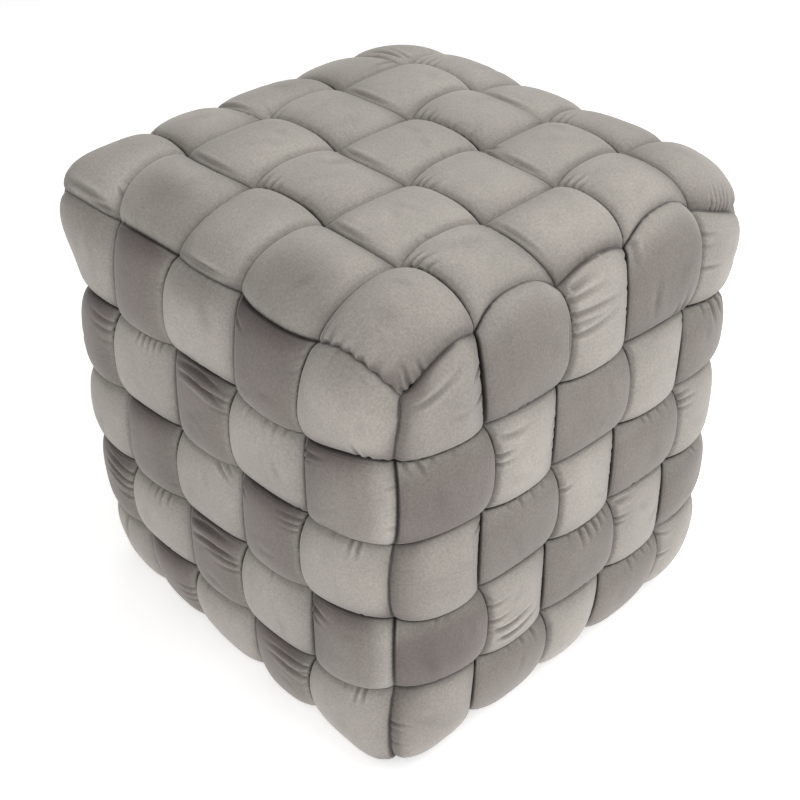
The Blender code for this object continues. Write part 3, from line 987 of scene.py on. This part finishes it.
def makeVelvet():
    finish = Finish("greige velvet")
    finish.fixed({"Roughness": velvet["roughness"], "Specular IOR Level": velvet["specular"],
                  "Sheen Weight": velvet["sheen"], "Sheen Roughness": velvet["sheenRoughness"],
                  "Sheen Tint": velvet["sheenTint"]})
    local = finish.attribute("local", "Vector")
    end, edge, fold = finish.apart(finish.attribute("margin", "Vector"))
    pleatStep, rimStep = velvet["squareSteps"]
    streaks = (1 / velvet["pleatLong"], 1 / velvet["pleatSpacing"], pleatStep)
    pleats = finish.noise(1.0, 1, 0.5, finish.stretched(local, streaks))
    waves = (1 / velvet["rimWave"][0], 1 / velvet["rimWave"][1], rimStep)
    slow = finish.noise(1.0, 1, 0.5, finish.stretched(local, waves))
    # the painted shade line where strips meet
    ragged = finish.math("MULTIPLY_ADD", pleats, velvet["ragged"], -velvet["ragged"] / 2)
    besideEnd = finish.math("ADD", end, ragged)
    away = finish.math("MULTIPLY_ADD", ragged, velvet["raggedSide"], velvet["sideLineAway"])
    besideEdge = finish.math("ADD", edge, away)
    inside = finish.times(finish.ramp(besideEnd, 0.0, velvet["creviceWidth"]),
                          finish.ramp(besideEdge, 0.0, velvet["creviceWidth"]))
    shade = finish.math("MULTIPLY_ADD", inside, 1 - velvet["crevice"], velvet["crevice"])
    # the softer painted shade beside it, and painted shade and highlight on the folds
    for margin, name in ((end, "endShade"), (edge, "edgeShade")):
        near = finish.decay(margin, velvet[name + "Reach"])
        shade = finish.times(shade, finish.math("MULTIPLY_ADD", near, -velvet[name], 1.0))
    # painted shade in the fold troughs and painted highlight on the ridges
    depth, light = velvet["foldDepth"], velvet["foldShade"]
    lit = finish.ramp(fold, -depth, depth, -light, light)
    shade = finish.times(shade, finish.math("ADD", lit, 1.0))
    smudge = finish.spread(finish.noise(velvet["smudgeSize"], 3, 0.55), velvet["smudge"])
    speckle = finish.spread(finish.noise(velvet["speckleSize"], 2, 0.6), velvet["speckle"])
    factor = finish.times(finish.times(smudge, speckle), shade)
    # painted light and shade: the tone mixes the lit and the shaded copy of the velvet
    colour = finish.mixColour(finish.attribute("napSheenAndShade"), velvet["taupe"], velvet["pale"], clamped=False)
    # pleats at the ends, the fold beside the long edges, and the nap's own grain
    fade = finish.decay(end, velvet["pleatLength"])
    normal = finish.bump(finish.times(pleats, fade), velvet["pleatBump"])
    wander = finish.math("MULTIPLY_ADD", slow, velvet["rimWander"], velvet["rimLine"])
    present = finish.ramp(slow, *velvet["rimGaps"])
    line = finish.times(finish.bell(edge, wander, velvet["rimLineWidth"]), present)
    normal = finish.bump(finish.times(line, -1), velvet["rimBump"], normal)
    normal = finish.bump(finish.noise(velvet["speckleSize"], 3, 0.6), velvet["grainBump"], normal)
    finish.fixed({"Base Color": finish.scaleColour(colour, factor), "Normal": normal})
    return finish.block


baseCloth = {
    "colour": (0.05, 0.047, 0.045),
    "roughness": 0.95,
    "specular": 0.1,
    "thread": 0.0011,                  # one warp or weft thread
    "threadShade": 0.2,                # how much the threads show, and how bright the cloth is between them
    "between": 0.75,
    "patchSize": 30.0,
    "patches": 0.25,
    "bump": 0.0002,
}


def makeBaseCloth():
    finish = Finish("woven base cloth")
    level = finish.apart(finish.node("TexCoord").outputs["Object"])[:2]
    warp, weft = (finish.math("SINE", finish.times(c, math.pi / baseCloth["thread"])) for c in level)
    weave = finish.times(warp, weft)
    fade = finish.spread(finish.noise(baseCloth["patchSize"], 3), baseCloth["patches"])
    threads = finish.math("MULTIPLY_ADD", weave, baseCloth["threadShade"], baseCloth["between"])
    colour = finish.mixColour(finish.times(threads, fade), (0, 0, 0), baseCloth["colour"])
    finish.fixed({"Base Color": colour, "Normal": finish.bump(weave, baseCloth["bump"]),
                  "Roughness": baseCloth["roughness"], "Specular IOR Level": baseCloth["specular"]})
    return finish.block


studio = {
    "aimHeight": centreHeight - 0.283 * pitch,
    "aimShift": -0.013 * pitch,        # along the picture's right
    "distance": 17.705 * pitch,
    "azimuth": 45.99,
    "elevation": 35.94,
    "lens": 68.0,
    "sensor": 36,
    "floorSize": 56,
    "floorColour": (0.95, 0.95, 0.95),
    "floorRoughness": 0.9,
    "floorGlow": 0.60,
    "world": 0.06,                     # light from above
    "horizon": 0.62,                   # and from the horizon
    "horizonBand": 0.3,                # how high that reaches, as a share of straight up
    "lightAway": 2.2,
    "lightSize": 1.1,
}


def direction(turn, rise):
    # towards a place at these angles, in degrees: turned from -Y towards +X, and above the floor
    turn = math.radians(turn - 90)
    rise = math.radians(rise)
    return Vector((math.cos(rise) * math.cos(turn), math.cos(rise) * math.sin(turn), math.sin(rise)))


def stand(name, data, place, back):
    # a camera or a light, that looks along the opposite of back
    made = shown(name, data)
    made.location = place
    made.rotation_euler = (-back).to_track_quat("-Z", "Y").to_euler()
    return made


def makeCamera():
    right = direction(studio["azimuth"] + 90, 0)
    aim = Vector((0, 0, studio["aimHeight"])) + right * studio["aimShift"]
    back = direction(studio["azimuth"], studio["elevation"])
    data = bpy.data.cameras.new("camera")
    data.lens = studio["lens"]
    data.sensor_width = studio["sensor"]
    bpy.context.scene.camera = stand("camera", data, aim + back * studio["distance"], back)


# soft lights: the angle round the stool from the camera's side, anticlockwise, the angle above the floor
# and the power in watts
lightColumns = ("name", "round", "above", "power")
softLights = (
    ("front softbox", -5, 42, 12.2),
    ("right softbox", 50, 50, 9.5),
    ("back right softbox", 120, 50, 11),
    ("back softbox", 180, 50, 7),
    ("top softbox", 0, 80, 5.5),
    ("left softbox", -90, 25, 2),
    ("low right softbox", 90, 25, 2),
)


def softLight(row):
    toLight = direction(studio["azimuth"] + row["round"], row["above"])
    data = bpy.data.lights.new(row["name"], "AREA")
    data.shape = "DISK"
    data.size = studio["lightSize"]
    data.energy = row["power"]
    stand(row["name"], data, Vector((0, 0, centreHeight)) + toLight * studio["lightAway"], toLight)


def makeStudio():
    size = studio["floorSize"]
    mesh = bpy.data.meshes.new("studio_floor")
    corners = [(-size, -size, 0), (size, -size, 0), (size, size, 0), (-size, size, 0)]
    mesh.from_pydata(corners, [], [(0, 1, 2, 3)])
    finish = Finish("pale floor")
    finish.fixed({"Base Color": studio["floorColour"], "Roughness": studio["floorRoughness"],
                  "Emission Color": (1, 1, 1), "Emission Strength": studio["floorGlow"]})
    mesh.materials.append(finish.block)
    floor = shown("studio_floor", mesh)
    world = Finish("studio", bpy.data.worlds, "Background")
    upward = world.apart(world.node("TexCoord").outputs["Generated"])[2]
    glow = world.ramp(upward, 0.0, studio["horizonBand"], studio["horizon"], studio["world"], "LINEAR")
    world.fixed({"Color": (1, 1, 1), "Strength": glow})
    bpy.context.scene.world = world.block
    bpy.context.scene.view_settings.view_transform = "Standard"
    for row in named(lightColumns, softLights):
        softLight(row)


makeCamera()
print("stage 1: the frame is loaded and the camera stands")
velvetFinish = makeVelvet()
for kind in kinds:
    for lane in range(cells):
        buildStrip(kind, lane, velvetFinish)
    print("stage 2: strips of kind", kind, "are padded")
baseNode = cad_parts["base_panel"]
baseNode.data.materials.clear()
baseNode.data.materials.append(makeBaseCloth())
makeStudio()
print("stage 3: the studio is lit")
